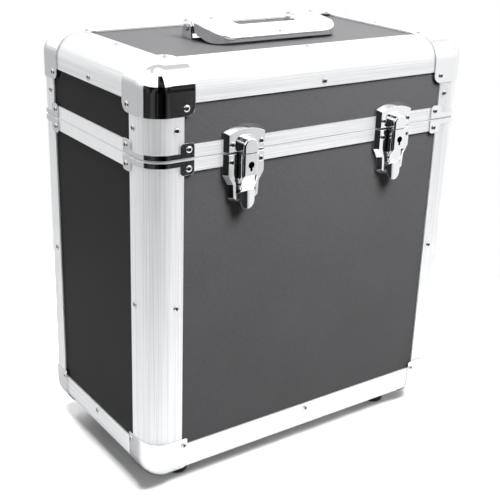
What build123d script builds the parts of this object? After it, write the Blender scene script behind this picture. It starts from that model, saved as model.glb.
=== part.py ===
from build123d import *

import os
from math import atan, degrees

# A carrying case for 12-inch records: laminated panels held in aluminium extrusions, ball corners,
# a deep body and a shallow hinged lid, two keyed draw latches and a folding handle.
# Millimetres. +Z is up, the front faces -Y, X runs along the front. The origin is on the floor,
# under the middle of the whole outline, latches and hinges included.

# ---------------------------------------------------------------- overall
WIDTH = 345.0              # outside of the aluminium, left to right
DEPTH = 205.0              # outside of the aluminium, front to back
BODY_HEIGHT = 300.0        # lowest aluminium to the seam
LID_HEIGHT = 75.0          # seam to the top
FOOT_HEIGHT = 17.0         # the case stands this high off the floor

# ---------------------------------------------------------------- extrusions and panels
EDGE_RADIUS = 20.0         # rounding of every outside edge
SKIN = 1.5                 # outer wall of an extrusion
INNER_WALL = 1.2           # inner wall and the floor of a panel pocket
GRIP = 11.0                # how far the inner wall runs past the pocket's floor
PANEL = 6.0                # laminated board
FIT = 0.2                  # board to pocket, each side, and between parts that butt
POST_LEG = 32.0            # visible leg of a corner post
TOP_SIDE_LEG = 30.0        # top edge, down the side
TOP_FLAT_LEG = 34.0        # top edge, over the top
BOTTOM_LEG = 33.0          # bottom edge, both legs
EDGE_END = 34.0            # edges and posts stop this far from the corner, under the ball corner

# ---------------------------------------------------------------- rim
RAIL_HEIGHT = 11.0
SEAM_GAP = 0.5
TONGUE_WIDTH = 1.8
TONGUE_DEPTH = 3.0         # below the lid's rim
TONGUE_ROOM = 0.8          # under the tongue

# ---------------------------------------------------------------- pressed corners and braces
PRESSING = 1.2             # chrome sheet
CORNER_REACH = 41.5        # ball corner, along the horizontal edges
CORNER_DROP = 40.0         # ball corner, along the post
CORNER_UNDER = 37.0        # bottom ball corner, over the underside
CORNER_LOBE = 8.0          # rounding of its inner corner, round the rivet
BRACE_REACH = 41.0
BRACE_EAR = 13.0
BRACE_DROP = 13.4          # seam to the ear's far end
BRACE_BAND = 5.5           # seam to the band's far edge
BRACE_SEAM = 1.0           # clear of the seam

# ---------------------------------------------------------------- rivets
RIVET_RADIUS = 3.0
RIVET_CROWN = 1.1
RIVET_FLAT = 1.6           # radius of the flattened crown

# ---------------------------------------------------------------- feet
FOOT_CORNER_GAP = 0.5      # clear of the bottom ball corner
FOOT_END_INSET = 36.5      # foot centre, in from the front and the back
FOOT_TOP_RADIUS = 11.0
FOOT_RADIUS = 10.0
FOOT_EDGE = 1.0
FOOT_WELL_RADIUS = 4.6
FOOT_WELL = 8.0
SCREW_HEAD_RADIUS = 3.8
SCREW_HEAD = 2.6
SCREW_RADIUS = 2.0

# ---------------------------------------------------------------- lining
LINING = 2.0
LINING_GAP = 0.3

# ---------------------------------------------------------------- hinges
HINGE_BRACE_GAP = 11.5     # hinge leaf to the seam brace
HINGE_WIDTH = 50.0
HINGE_AXIS_OUT = 4.0       # pin centre from the back face
KNUCKLES = 5
KNUCKLE_RADIUS = 3.2
KNUCKLE_GAP = 0.3
KNUCKLE_ROOT = 5.0         # where a knuckle's sheet meets the leaf, from the seam
HINGE_PIN_RADIUS = 1.5
HINGE_FIT = 0.05
HINGE_LEAF = 26.0          # seam to the far edge of a leaf
LEAF = 1.2

# ---------------------------------------------------------------- latches; O is out of the front face
LATCH_INSET = 89.7         # latch centre, in from the case's side
LATCH_WIDTH = 41.0
LATCH_SHEET = 1.2
LATCH_SEAM = 0.4           # nose and lock cover stop this far from the seam
PLATE_SEAM = 0.8           # and the plates this far
PLATE_RISE = 4.8           # front of a pressed plate from the case
FLANK_RUN = 2.8            # width of a plate's sloped flank
PLATE_EDGE = 0.7
STRIKE_SHOULDER = 17.5     # height of the strike plate's sides above the seam
STRIKE_CROWN = 22.5
NOSE_WIDTH = 15.0
NOSE_HEIGHT = 13.0
NOSE_OUT = 12.0
NOSE_EDGE = 1.6
NOSE_RIM = 1.5             # raised rim round the nose
NOSE_RIM_RISE = 0.7
LIP_UNDER = 2.8            # catch lip above the seam
LIP_OUT = 5.2
LIP_WIDTH = 9.0
BASE_SHOULDER = 19.3       # the base's straight sides below the seam
BASE_WAIST = 27.6
BASE_WAIST_WIDTH = 31.6
BASE_FOOT = 40.0
BASE_FOOT_WIDTH = 30.0
BASE_END = 46.0
CHEEK = 1.0
CHEEK_GAP = 0.3
CHEEK_OUT = 10.0
CHEEK_LEG = 20.0           # full-height stretch of a cheek below the seam
CHANNEL_END = 35.5         # the channel that holds the cheeks ends here
LEVER_PIVOT_OUT = 5.5
LEVER_PIVOT_DROP = 24.0
HOOK_PIVOT_IN = 0.5        # hook pin, in from the lever pin and below it
HOOK_PIVOT_BELOW = 6.0
PIN_RADIUS = 1.25
PIN_FIT = 0.05
PIN_HEAD_RADIUS = 2.0
PIN_HEAD = 0.9
EYE_RADIUS = 2.6           # metal round a pivot
COVER_DROP = 19.0          # the lock cover's lower edge below the seam
COVER_WALL = 1.2
HOOK_SIDE = 1.05
HOOK_ARM_WIDTH = 7.0
HOOK_ARM_OUT = 6.3
HOOK_ARM = 1.2
HOOK_NIB = 1.5
HOOK_NIB_GAP = 0.3         # nib over the catch lip
HOOK_NIB_BITE = 1.6        # nib past the lip's edge
LOCK_WIDTH = 11.2
LOCK_TOP = 4.7
LOCK_BOTTOM = 17.0
LOCK_IN = 6.8
KEYHOLE_DROP = 10.0
KEYHOLE_RADIUS = 3.0
KEYHOLE_SLOT = 2.2
KEYHOLE_LENGTH = 5.4
BOLT_WIDTH = 8.0
BOLT_THICK = 1.2
BOLT_OUT = 7.0
BOLT_TOP = 8.0
BOLT_BOTTOM = 18.2
BOLT_ROOM = 0.2
FLANGE = 1.1               # lever's side walls
FLANGE_GAP = 0.3
TONGUE_SHEET = 1.2
TONGUE_GAP = 0.7           # under the cover
TONGUE_BACK = 2.3          # the tongue's top is this far behind the cover's face
WAIST_OUT = 7.9            # crease between the tongue and the finger
WAIST_DROP = 33.0
FINGER_WIDTH = 16.0
FINGER_OUT = 8.9
FINGER_DROP = 48.8
FINGER_CROWN = 36.0        # radius of its rounded front
SPRING = 0.5
SPRING_WIDTH = 6.0
SPRING_OUT = 5.6
SPRING_TOP = 2.0
SPRING_BOTTOM = 17.0

# ---------------------------------------------------------------- handle
HANDLE_PIVOT_Y = 8.6       # behind the middle of the case
HANDLE_PIVOT_UP = 8.0      # above the top
HANDLE_PIN_RADIUS = 2.0
HANDLE_PIN_HEAD = 3.2
HANDLE_PIN_HEAD_LENGTH = 1.2
LUG_INNER = 43.0           # outer faces of a bracket's two lugs, from the middle
LUG_OUTER = 71.0
LUG = 1.6
LUG_RADIUS = 7.2
LUG_FOOT = 17.0            # front to back at its foot
BRACKET_GAP = 0.3
BARREL_RADIUS = 6.3
BAIL_REACH = 48.6          # pivot to the front of the grip
BAIL_WALL = 2.0
BAIL_CORNER = 20.0
BAIL_EDGE = 0.8            # rounding of the bail's upper edges
GRIP_DEPTH = 22.7
GRIP_CREASE = 15.6         # crease across the grip, from its front
WINDOW_HALF = 33.0
WINDOW_CORNER = 5.0
BAIL_HEAD = 10.5           # the arms widen from here, in front of the pivot
BAIL_WAIST = 14.5          # and reach their full width here
BAIL_UNDER = 7.0           # grip's lower edge below the pivot
BAIL_FALL = 0.3            # of the arms' top, where they widen
GRIP_TOP = 4.0             # rear of the grip above the pivot
CREASE_TOP = 3.3
GRIP_FRONT_TOP = -2.4      # upper front edge of the grip
DIMPLE_RADIUS = 1.8        # in the middle of the grip's front slope
DIMPLE = 0.8
DIMPLE_IN = 4.0            # from the grip's front

# ---------------------------------------------------------------- worked out from the sizes above
LATCH_REACH = NOSE_OUT
HINGE_REACH = HINGE_AXIS_OUT + KNUCKLE_RADIUS
CASE_Y = (LATCH_REACH - HINGE_REACH) / 2
LEFT = -WIDTH / 2
FRONT = CASE_Y - DEPTH / 2
BACK = CASE_Y + DEPTH / 2
BOTTOM = FOOT_HEIGHT
SEAM = BOTTOM + BODY_HEIGHT
TOP = SEAM + LID_HEIGHT
BODY_RIM = SEAM - SEAM_GAP / 2
LID_RIM = SEAM + SEAM_GAP / 2

PANEL_FACE = SKIN + FIT                 # board's outer face below the aluminium's
PANEL_BACK = PANEL_FACE + PANEL
POCKET_BACK = PANEL_BACK + FIT
PROFILE_BACK = POCKET_BACK + INNER_WALL
PANEL_EDGE = EDGE_RADIUS + FIT          # board's edge from the outside of the case
GROOVE_DEPTH = TONGUE_DEPTH - SEAM_GAP + TONGUE_ROOM
LINING_FACE = PROFILE_BACK + LINING_GAP
LINING_BACK = LINING_FACE + LINING

FOOT_X = WIDTH / 2 - CORNER_UNDER - FOOT_CORNER_GAP - FOOT_TOP_RADIUS
FOOT_Y = DEPTH / 2 - FOOT_END_INSET
HINGE_X = WIDTH / 2 - BRACE_REACH - HINGE_BRACE_GAP - HINGE_WIDTH / 2
LATCH_X = WIDTH / 2 - LATCH_INSET
FLANK_ANGLE = degrees(atan(FLANK_RUN / PLATE_RISE))

COVER_BACK = NOSE_OUT - COVER_WALL
CHEEK_INNER = NOSE_WIDTH / 2 + CHEEK_GAP
CHEEK_OUTER = CHEEK_INNER + CHEEK
CHANNEL = CHEEK_OUTER + PIN_HEAD + CHEEK_GAP      # half its width
HOOK_PIVOT_OUT = LEVER_PIVOT_OUT - HOOK_PIVOT_IN
HOOK_PIVOT_DROP = LEVER_PIVOT_DROP + HOOK_PIVOT_BELOW
LIP_TOP = LIP_UNDER + LATCH_SHEET
NIB_UNDER = LIP_TOP + HOOK_NIB_GAP
NIB_TOP = NIB_UNDER + HOOK_NIB
NIB_TIP = LIP_OUT - HOOK_NIB_BITE
HOOK_SIDE_INNER = NOSE_WIDTH / 2 - HOOK_SIDE
FLANGE_OUTER = HOOK_SIDE_INNER - FLANGE_GAP
TONGUE_TOP = COVER_DROP + TONGUE_GAP
TONGUE_FACE = NOSE_OUT - TONGUE_BACK
HANDLE_Y = CASE_Y + HANDLE_PIVOT_Y
HANDLE_Z = TOP + HANDLE_PIVOT_UP
BARREL_INNER = LUG_INNER + LUG + BRACKET_GAP
BARREL_OUTER = LUG_OUTER - LUG - BRACKET_GAP

os.makedirs("parts", exist_ok=True)


def save(part, name):
    part.label = name
    export_step(part, f"parts/{name}.step")


def corner_plane(origin, inward_u, inward_v):
    """A section plane across an edge of the case: both axes run from the outside corner inwards."""
    return Plane(origin=origin, x_dir=inward_u, z_dir=Vector(inward_u).cross(Vector(inward_v)))


def corner_band(outer, inner, leg_u, leg_v):
    """L-shaped band between two depths under the outside, rounded about the edge's own centre."""
    with BuildSketch() as band:
        with BuildLine():
            Polyline((EDGE_RADIUS, outer), (leg_u, outer), (leg_u, inner), (EDGE_RADIUS, inner))
            RadiusArc((EDGE_RADIUS, inner), (inner, EDGE_RADIUS), EDGE_RADIUS - inner)
            Polyline((inner, EDGE_RADIUS), (inner, leg_v), (outer, leg_v), (outer, EDGE_RADIUS))
            RadiusArc((outer, EDGE_RADIUS), (EDGE_RADIUS, outer), -(EDGE_RADIUS - outer))
        make_face()
    return band.sketch


def extrusion_section(leg_u, leg_v):
    """Rounded outer skin, an inner wall and two pockets that take the boards' edges."""
    inner_leg = EDGE_RADIUS + GRIP
    with BuildSketch() as section:
        add(corner_band(0, SKIN, leg_u, leg_v))
        add(corner_band(POCKET_BACK, PROFILE_BACK, inner_leg, inner_leg))
        pocket = PROFILE_BACK - SKIN
        with Locations((EDGE_RADIUS - INNER_WALL / 2, SKIN + pocket / 2)):
            Rectangle(INNER_WALL, pocket)
        with Locations((SKIN + pocket / 2, EDGE_RADIUS - INNER_WALL / 2)):
            Rectangle(pocket, INNER_WALL)
    return section.sketch


def board(plane, across, up):
    """A laminated board; the plane is at the middle of its outer face, facing outwards."""
    with BuildPart() as panel:
        with BuildSketch(plane):
            Rectangle(across, up)
        extrude(amount=-PANEL)
    return panel.part


# ================================================================ panels
BODY_BOARD_LOW = BOTTOM + PANEL_EDGE
BODY_BOARD_HIGH = BODY_RIM - GROOVE_DEPTH - INNER_WALL - FIT
LID_BOARD_LOW = LID_RIM + INNER_WALL + FIT
LID_BOARD_HIGH = TOP - PANEL_EDGE
BOARD_WIDTH = WIDTH - 2 * PANEL_EDGE
BOARD_DEPTH = DEPTH - 2 * PANEL_EDGE

SIDES = (
    ("front", (0, FRONT + PANEL_FACE), (1, 0, 0), (0, -1, 0), BOARD_WIDTH),
    ("back", (0, BACK - PANEL_FACE), (-1, 0, 0), (0, 1, 0), BOARD_WIDTH),
    ("left", (LEFT + PANEL_FACE, CASE_Y), (0, -1, 0), (-1, 0, 0), BOARD_DEPTH),
    ("right", (-LEFT - PANEL_FACE, CASE_Y), (0, 1, 0), (1, 0, 0), BOARD_DEPTH),
)
for half, low, high in (("body", BODY_BOARD_LOW, BODY_BOARD_HIGH), ("lid", LID_BOARD_LOW, LID_BOARD_HIGH)):
    for side, (x, y), along, outward, across in SIDES:
        face = Plane(origin=(x, y, (low + high) / 2), x_dir=along, z_dir=outward)
        save(board(face, across, high - low), f"{half}_{side}_panel")

floor_face = Plane(origin=(0, CASE_Y, BOTTOM + PANEL_FACE), x_dir=(1, 0, 0), z_dir=(0, 0, -1))
save(board(floor_face, BOARD_WIDTH, BOARD_DEPTH), "body_floor_panel")
top_face = Plane(origin=(0, CASE_Y, TOP - PANEL_FACE), x_dir=(1, 0, 0), z_dir=(0, 0, 1))
save(board(top_face, BOARD_WIDTH, BOARD_DEPTH), "lid_top_panel")

# ================================================================ corner posts
CORNERS = (
    ("front_left", LEFT, FRONT, (1, 0, 0), (0, 1, 0)),
    ("front_right", -LEFT, FRONT, (0, 1, 0), (-1, 0, 0)),
    ("back_left", LEFT, BACK, (0, -1, 0), (1, 0, 0)),
    ("back_right", -LEFT, BACK, (-1, 0, 0), (0, -1, 0)),
)
for corner, x, y, inward_u, inward_v in CORNERS:
    with BuildPart() as post:
        with BuildSketch(corner_plane((x, y, BOTTOM + EDGE_END), inward_u, inward_v)):
            add(extrusion_section(POST_LEG, POST_LEG))
        extrude(amount=BODY_RIM - BOTTOM - EDGE_END)
    save(post.part, f"body_post_{corner}")

with BuildPart() as lid_posts:
    for _, x, y, inward_u, inward_v in CORNERS:
        with BuildSketch(corner_plane((x, y, LID_RIM), inward_u, inward_v)):
            add(extrusion_section(POST_LEG, POST_LEG))
    extrude(amount=TOP - EDGE_END - LID_RIM)
save(lid_posts.part, "lid_posts")

# ================================================================ horizontal edges
EDGES = (
    ("front", (0, FRONT), (0, 1, 0), WIDTH),
    ("back", (0, BACK), (0, -1, 0), WIDTH),
    ("left", (LEFT, CASE_Y), (1, 0, 0), DEPTH),
    ("right", (-LEFT, CASE_Y), (-1, 0, 0), DEPTH),
)
LEVELS = (
    ("body_bottom_edge", BOTTOM, (0, 0, 1), BOTTOM_LEG, BOTTOM_LEG),
    ("lid_top_edge", TOP, (0, 0, -1), TOP_FLAT_LEG, TOP_SIDE_LEG),
)
for level, z, vertical, flat_leg, side_leg in LEVELS:
    for side, (x, y), inward, length in EDGES:
        with BuildPart() as edge:
            with BuildSketch(corner_plane((x, y, z), inward, vertical)):
                add(extrusion_section(flat_leg, side_leg))
            extrude(amount=length / 2 - EDGE_END, both=True)
        save(edge.part, f"{level}_{side}")


# ================================================================ rim rails
def rim_section(rim_to_web, tongue):
    """Rail section from the rim: two legs grip the board, with the groove or the tongue at the seam."""
    with BuildSketch() as section:
        for near, far in ((0, SKIN), (POCKET_BACK, PROFILE_BACK)):
            with Locations(((near + far) / 2, RAIL_HEIGHT / 2)):
                Rectangle(far - near, RAIL_HEIGHT)
        with Locations(((SKIN + POCKET_BACK) / 2, rim_to_web + INNER_WALL / 2)):
            Rectangle(POCKET_BACK - SKIN, INNER_WALL)
        if tongue:
            with Locations(((SKIN + POCKET_BACK) / 2, -TONGUE_DEPTH / 2)):
                Rectangle(TONGUE_WIDTH, TONGUE_DEPTH)
    return section.sketch


RIMS = (
    ("body_rim_rails", BODY_RIM, (0, 0, -1), GROOVE_DEPTH, False),
    ("lid_rim_rails", LID_RIM, (0, 0, 1), 0, True),
)
for name, z, away, rim_to_web, tongue in RIMS:
    with BuildPart() as rails:
        for _, (x, y), inward, length in EDGES:
            with BuildSketch(corner_plane((x, y, z), inward, away)):
                add(rim_section(rim_to_web, tongue))
            extrude(amount=length / 2 - POST_LEG - FIT, both=True)
    save(rails.part, name)


# ================================================================ ball corners
def mirrored_four(part):
    """The front left piece and its three mirror images."""
    with BuildPart() as four:
        add(part)
        mirror(about=Plane.YZ)
        mirror(about=Plane.XZ.offset(-CASE_Y))
    return four.part


def rounded_block(grow):
    """Front left corner of the case's outside, grown by a sheet's thickness, edges and tip rounded."""
    with BuildPart() as block:
        with BuildSketch(Plane.XY.offset(-grow)):
            with Locations((-grow, -grow)):
                Rectangle(2 * CORNER_REACH, 2 * CORNER_REACH, align=(Align.MIN, Align.MIN))
        extrude(amount=2 * CORNER_REACH)
        tip = block.vertices().sort_by_distance((-grow, -grow, -grow))[0]
        fillet([edge for edge in block.edges() if tip in edge.vertices()], radius=EDGE_RADIUS + grow)
    return block.part


def ear_outline(reach_u, reach_v):
    """What a ball corner covers of one face, its inner corner rounded about the rivet."""
    margin = CORNER_REACH
    with BuildSketch() as outline:
        Rectangle(reach_u + margin, reach_v + margin)
        fillet(outline.vertices(), radius=CORNER_LOBE)
    return Pos((reach_u - margin) / 2, (reach_v - margin) / 2) * outline.sketch


def ear_prism(plane, reach_u, reach_v):
    """Everything in line with what the ball corner covers of one face."""
    with BuildPart() as prism:
        with BuildSketch(plane):
            add(ear_outline(reach_u, reach_v))
        extrude(amount=CORNER_REACH, both=True)
    return prism.part


def ball_corner(flat_reach):
    """Pressed cap in its own frame: the case's corner at the origin, the edges along +X, +Y and +Z."""
    side_on = Plane(origin=(0, 0, 0), x_dir=(0, 1, 0), z_dir=(1, 0, 0))
    end_on = Plane(origin=(0, 0, 0), x_dir=(0, 0, 1), z_dir=(0, 1, 0))
    with BuildPart() as cap:
        add(rounded_block(PRESSING))
        add(rounded_block(0), mode=Mode.SUBTRACT)
        add(ear_prism(Plane.XY, flat_reach, flat_reach), mode=Mode.INTERSECT)
        add(ear_prism(end_on, CORNER_DROP, CORNER_REACH), mode=Mode.INTERSECT)
        add(ear_prism(side_on, CORNER_REACH, CORNER_DROP), mode=Mode.INTERSECT)
    return cap.part


lower_cap = Pos(LEFT, FRONT, BOTTOM) * ball_corner(CORNER_UNDER)
save(mirrored_four(lower_cap), "body_ball_corners")
upper_cap = Pos(LEFT, FRONT, TOP) * ball_corner(CORNER_REACH).mirror(Plane.XY)
save(mirrored_four(upper_cap), "lid_ball_corners")


# ================================================================ seam braces
def seam_brace():
    """Band round the post with an ear on each face, above a seam at z = 0, in the corner's frame."""
    ear_height = BRACE_DROP - BRACE_SEAM
    with BuildPart() as brace:
        with BuildSketch(Plane.XY.offset(BRACE_SEAM)):
            add(corner_band(-PRESSING, 0, BRACE_REACH, BRACE_REACH))
        extrude(amount=ear_height)
        inner = BRACE_REACH - BRACE_EAR
        with BuildSketch(Plane.XY.offset(BRACE_BAND)):
            with Locations((-PRESSING, -PRESSING)):
                Rectangle(inner + PRESSING, inner + PRESSING, align=(Align.MIN, Align.MIN))
        extrude(amount=BRACE_DROP, mode=Mode.SUBTRACT)
        tips = brace.edges().filter_by(lambda edge: edge.length < PRESSING + FIT)
        fillet(tips.group_by(Axis.Z)[-1], radius=BRACE_EAR / 4)
    return brace.part


lid_brace = Pos(LEFT, FRONT, SEAM) * seam_brace()
save(mirrored_four(lid_brace), "lid_seam_braces")
body_brace = Pos(LEFT, FRONT, SEAM) * seam_brace().mirror(Plane.XY)
save(mirrored_four(body_brace), "body_seam_braces")


# ================================================================ linings
def lining(low, high, open_end):
    """Felt-covered foam tray glued inside a half; open_end is the direction of its open side."""
    with BuildPart() as tray:
        for depth, mode in ((LINING_FACE, Mode.ADD), (LINING_BACK, Mode.SUBTRACT)):
            shift = 0 if mode == Mode.ADD else LINING * open_end
            hollow = Pos(0, CASE_Y, (low + high) / 2 + shift) * rounded_tray(depth, high - low, open_end)
            add(hollow, mode=mode)
    return tray.part


def rounded_tray(depth, height, open_end):
    """Block as wide as the inside at a depth, rounded everywhere but at its open side."""
    with BuildPart() as block:
        Box(WIDTH - 2 * depth, DEPTH - 2 * depth, height)
        edges = block.edges().group_by(Axis.Z)
        rounded = edges[:2] if open_end > 0 else edges[-2:]
        fillet(rounded[0] + rounded[1], radius=EDGE_RADIUS - depth)
    return block.part


save(lining(BOTTOM + LINING_FACE, BODY_RIM, 1), "body_lining")
save(lining(LID_RIM, TOP - LINING_FACE, -1), "lid_lining")

# ================================================================ feet
FOOT_PLACES = [(x, CASE_Y + y) for x in (-FOOT_X, FOOT_X) for y in (-FOOT_Y, FOOT_Y)]
with BuildPart() as feet:
    for x, y in FOOT_PLACES:
        with BuildSketch(Plane(origin=(x, y, 0), x_dir=(1, 0, 0), z_dir=(0, -1, 0))):
            with BuildLine():
                Polyline(
                    (SCREW_RADIUS + FIT, FOOT_WELL),
                    (SCREW_RADIUS + FIT, FOOT_HEIGHT),
                    (FOOT_TOP_RADIUS, FOOT_HEIGHT),
                    (FOOT_RADIUS, FOOT_EDGE),
                    (FOOT_RADIUS - FOOT_EDGE, 0),
                    (FOOT_WELL_RADIUS, 0),
                    (FOOT_WELL_RADIUS, FOOT_WELL),
                    close=True,
                )
            make_face()
        revolve(axis=Axis((x, y, 0), (0, 0, 1)))
save(feet.part, "rubber_feet")

with BuildPart() as screws:
    for x, y in FOOT_PLACES:
        with BuildSketch(Plane(origin=(x, y, FOOT_WELL), x_dir=(1, 0, 0), z_dir=(0, -1, 0))):
            with BuildLine():
                Polyline(
                    (0, -SCREW_HEAD),
                    (SCREW_HEAD_RADIUS / 2, -SCREW_HEAD),
                    (SCREW_HEAD_RADIUS, 0),
                    (SCREW_RADIUS, 0),
                    (SCREW_RADIUS, FOOT_HEIGHT - FOOT_WELL),
                    (0, FOOT_HEIGHT - FOOT_WELL),
                    close=True,
                )
            make_face()
        revolve(axis=Axis((x, y, 0), (0, 0, 1)))
save(screws.part, "foot_screws")

# ================================================================ hinges
HINGE_Y = BACK + HINGE_AXIS_OUT
HINGE_PLACES = (-HINGE_X, HINGE_X)
KNUCKLE = HINGE_WIDTH / KNUCKLES


def hinge_leaf(x, up):
    """One leaf: joggled from the rail down on to the board, its knuckles curled round the pin."""
    section = Plane(origin=(x, BACK, SEAM), x_dir=(0, 1, 0), z_dir=(1, 0, 0))
    joggle = RAIL_HEIGHT + SEAM_GAP
    sunk = -PANEL_FACE
    with BuildPart() as leaf:
        with BuildSketch(section):
            with BuildLine():
                Polyline(
                    (0, up * SEAM_GAP),
                    (LEAF, up * SEAM_GAP),
                    (LEAF, up * joggle),
                    (sunk + LEAF, up * (joggle + LEAF)),
                    (sunk + LEAF, up * HINGE_LEAF),
                    (sunk, up * HINGE_LEAF),
                    (sunk, up * (joggle + FIT)),
                    (0, up * joggle),
                    close=True,
                )
            make_face()
        extrude(amount=HINGE_WIDTH / 2, both=True)
        corners = leaf.edges().filter_by(Axis.Y).group_by(Axis.Z)[-1 if up > 0 else 0]
        fillet(corners, radius=LEAF * 3)
        own = [place for place in range(KNUCKLES) if (place % 2 == 1) == (up > 0)]
        other = [place for place in range(KNUCKLES) if place not in own]
        for place in own:
            middle = x - HINGE_WIDTH / 2 + KNUCKLE * (place + 0.5)
            with BuildSketch(Plane(origin=(middle, BACK, SEAM), x_dir=(0, 1, 0), z_dir=(1, 0, 0))):
                with Locations((HINGE_AXIS_OUT, 0)):
                    Circle(KNUCKLE_RADIUS)
                with BuildLine():
                    Polyline(
                        (0, up * SEAM_GAP),
                        (HINGE_AXIS_OUT, 0),
                        (HINGE_AXIS_OUT, up * KNUCKLE_RADIUS),
                        (LEAF, up * KNUCKLE_ROOT),
                        (0, up * KNUCKLE_ROOT),
                        close=True,
                    )
                make_face()
            extrude(amount=(KNUCKLE - KNUCKLE_GAP) / 2, both=True)
        for place in other:
            middle = x - HINGE_WIDTH / 2 + KNUCKLE * (place + 0.5)
            with BuildSketch(Plane(origin=(middle, BACK, SEAM), x_dir=(0, 1, 0), z_dir=(1, 0, 0))):
                with Locations((HINGE_AXIS_OUT, 0)):
                    Circle(KNUCKLE_RADIUS + KNUCKLE_GAP)
            extrude(amount=(KNUCKLE + KNUCKLE_GAP) / 2, both=True, mode=Mode.SUBTRACT)
        with BuildSketch(section):
            with Locations((HINGE_AXIS_OUT, 0)):
                Circle(HINGE_PIN_RADIUS + HINGE_FIT)
        extrude(amount=HINGE_WIDTH, both=True, mode=Mode.SUBTRACT)
    return leaf.part


for name, up in (("body_hinge_leaves", -1), ("lid_hinge_leaves", 1)):
    with BuildPart() as leaves:
        for x in HINGE_PLACES:
            add(hinge_leaf(x, up))
    save(leaves.part, name)

with BuildPart() as hinge_pins:
    for x in HINGE_PLACES:
        with BuildSketch(Plane(origin=(x, HINGE_Y, SEAM), x_dir=(0, 1, 0), z_dir=(1, 0, 0))):
            Circle(HINGE_PIN_RADIUS)
        extrude(amount=HINGE_WIDTH / 2, both=True)
save(hinge_pins.part, "hinge_pins")


# ================================================================ latches
def front_view(x, out=0.0):
    """Looking at the front face: sketch x is across, sketch y is up from the seam, +Z is outwards."""
    return Plane(origin=(x, FRONT - out, SEAM), x_dir=(1, 0, 0), z_dir=(0, -1, 0))


def side_view(x):
    """Section through a latch: sketch x is out of the front face, sketch y is up from the seam."""
    return Plane(origin=(x, FRONT, SEAM), x_dir=(0, -1, 0), z_dir=(-1, 0, 0))


def arch(width, height):
    """Upright outline with a half-round top, its foot at y = 0."""
    half = width / 2
    with BuildSketch() as outline:
        with BuildLine():
            Polyline((-half, height - half), (-half, 0), (half, 0), (half, height - half))
            ThreePointArc((half, height - half), (0, height), (-half, height - half))
        make_face()
    return outline.sketch


def nose_block(x, wall):
    """The nose of a strike plate, or its hollow when a wall is taken off."""
    with BuildPart() as nose:
        with BuildSketch(front_view(x)):
            with Locations((0, LATCH_SEAM)):
                add(arch(NOSE_WIDTH - 2 * wall, NOSE_HEIGHT - LATCH_SEAM - wall))
        extrude(amount=NOSE_OUT - wall)
        front = nose.faces().sort_by(Axis.Y)[0]
        fillet(front.edges().sort_by(Axis.Z)[1:], radius=NOSE_EDGE)
    return nose.part


def strike_outline(low):
    """Arched outline of the strike plate above a level."""
    half = LATCH_WIDTH / 2
    with BuildSketch() as outline:
        with BuildLine():
            Polyline((-half, STRIKE_SHOULDER), (-half, low), (half, low), (half, STRIKE_SHOULDER))
            ThreePointArc((half, STRIKE_SHOULDER), (0, STRIKE_CROWN), (-half, STRIKE_SHOULDER))
        make_face()
    return outline.sketch


def base_outline(high):
    """Tapered outline of the base plate below a level."""
    half, waist, foot = LATCH_WIDTH / 2, BASE_WAIST_WIDTH / 2, BASE_FOOT_WIDTH / 2
    with BuildSketch() as outline:
        with BuildLine():
            Polyline(
                (-foot, -BASE_FOOT),
                (-waist, -BASE_WAIST),
                (-half, -BASE_SHOULDER),
                (-half, high),
                (half, high),
                (half, -BASE_SHOULDER),
                (waist, -BASE_WAIST),
                (foot, -BASE_FOOT),
            )
            ThreePointArc((foot, -BASE_FOOT), (0, -BASE_END), (-foot, -BASE_FOOT))
        make_face()
    return outline.sketch


def plate_block(x, outline, up, wall):
    """Raised plate with sloped flanks, square at its seam end; with a wall taken off, its hollow."""
    with BuildPart() as block:
        with BuildSketch(front_view(x)):
            add(outline)
            if wall:
                offset(amount=-wall)
        extrude(amount=PLATE_RISE - wall, taper=FLANK_ANGLE)
        with BuildSketch(front_view(x)):
            with Locations((0, up * (PLATE_SEAM + wall + LATCH_WIDTH))):
                Rectangle(2 * LATCH_WIDTH, 2 * LATCH_WIDTH)
        extrude(amount=PLATE_RISE, mode=Mode.INTERSECT)
    return block.part


def pressed_plate(x, outline, up):
    """Sheet plate, hollow behind, with a lip that goes down to the board beyond the rail."""
    with BuildPart() as plate:
        add(plate_block(x, outline, up, 0))
        front = plate.faces().sort_by(Axis.Y)[0]
        seam_edge = front.edges().sort_by(Axis.Z)[0 if up > 0 else -1]
        fillet(seam_edge, radius=PLATE_EDGE)
        add(plate_block(x, outline, up, LATCH_SHEET), mode=Mode.SUBTRACT)
        with BuildSketch(front_view(x)):
            add(outline)
            offset(amount=-LATCH_SHEET, mode=Mode.SUBTRACT)
            with Locations((0, up * (RAIL_HEIGHT + SEAM_GAP - LATCH_WIDTH))):
                Rectangle(2 * LATCH_WIDTH, 2 * LATCH_WIDTH, mode=Mode.SUBTRACT)
        extrude(amount=-SKIN)
    return plate.part


def strike_plate(x):
    """Lid half: an arched plate with a hollow nose that shelters the catch lip."""
    rim_foot = PLATE_SEAM + PLATE_EDGE
    with BuildPart() as strike:
        add(pressed_plate(x, strike_outline(-FLANK_RUN), 1))
        with BuildSketch(front_view(x)):
            with Locations((0, rim_foot)):
                add(arch(NOSE_WIDTH + 2 * NOSE_RIM, NOSE_HEIGHT + NOSE_RIM - rim_foot))
        extrude(amount=PLATE_RISE + NOSE_RIM_RISE)
        add(nose_block(x, 0))
        add(nose_block(x, LATCH_SHEET), mode=Mode.SUBTRACT)
        with BuildSketch(front_view(x)):
            with Locations((0, (LATCH_SEAM + NOSE_HEIGHT) / 2)):
                Rectangle(NOSE_WIDTH, NOSE_HEIGHT - LATCH_SEAM)
        extrude(amount=LATCH_SHEET)
        with BuildSketch(front_view(x)):
            with Locations((0, (LIP_UNDER + LIP_TOP) / 2)):
                Rectangle(LIP_WIDTH, LATCH_SHEET)
        extrude(amount=LIP_OUT)
    return strike.part


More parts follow.
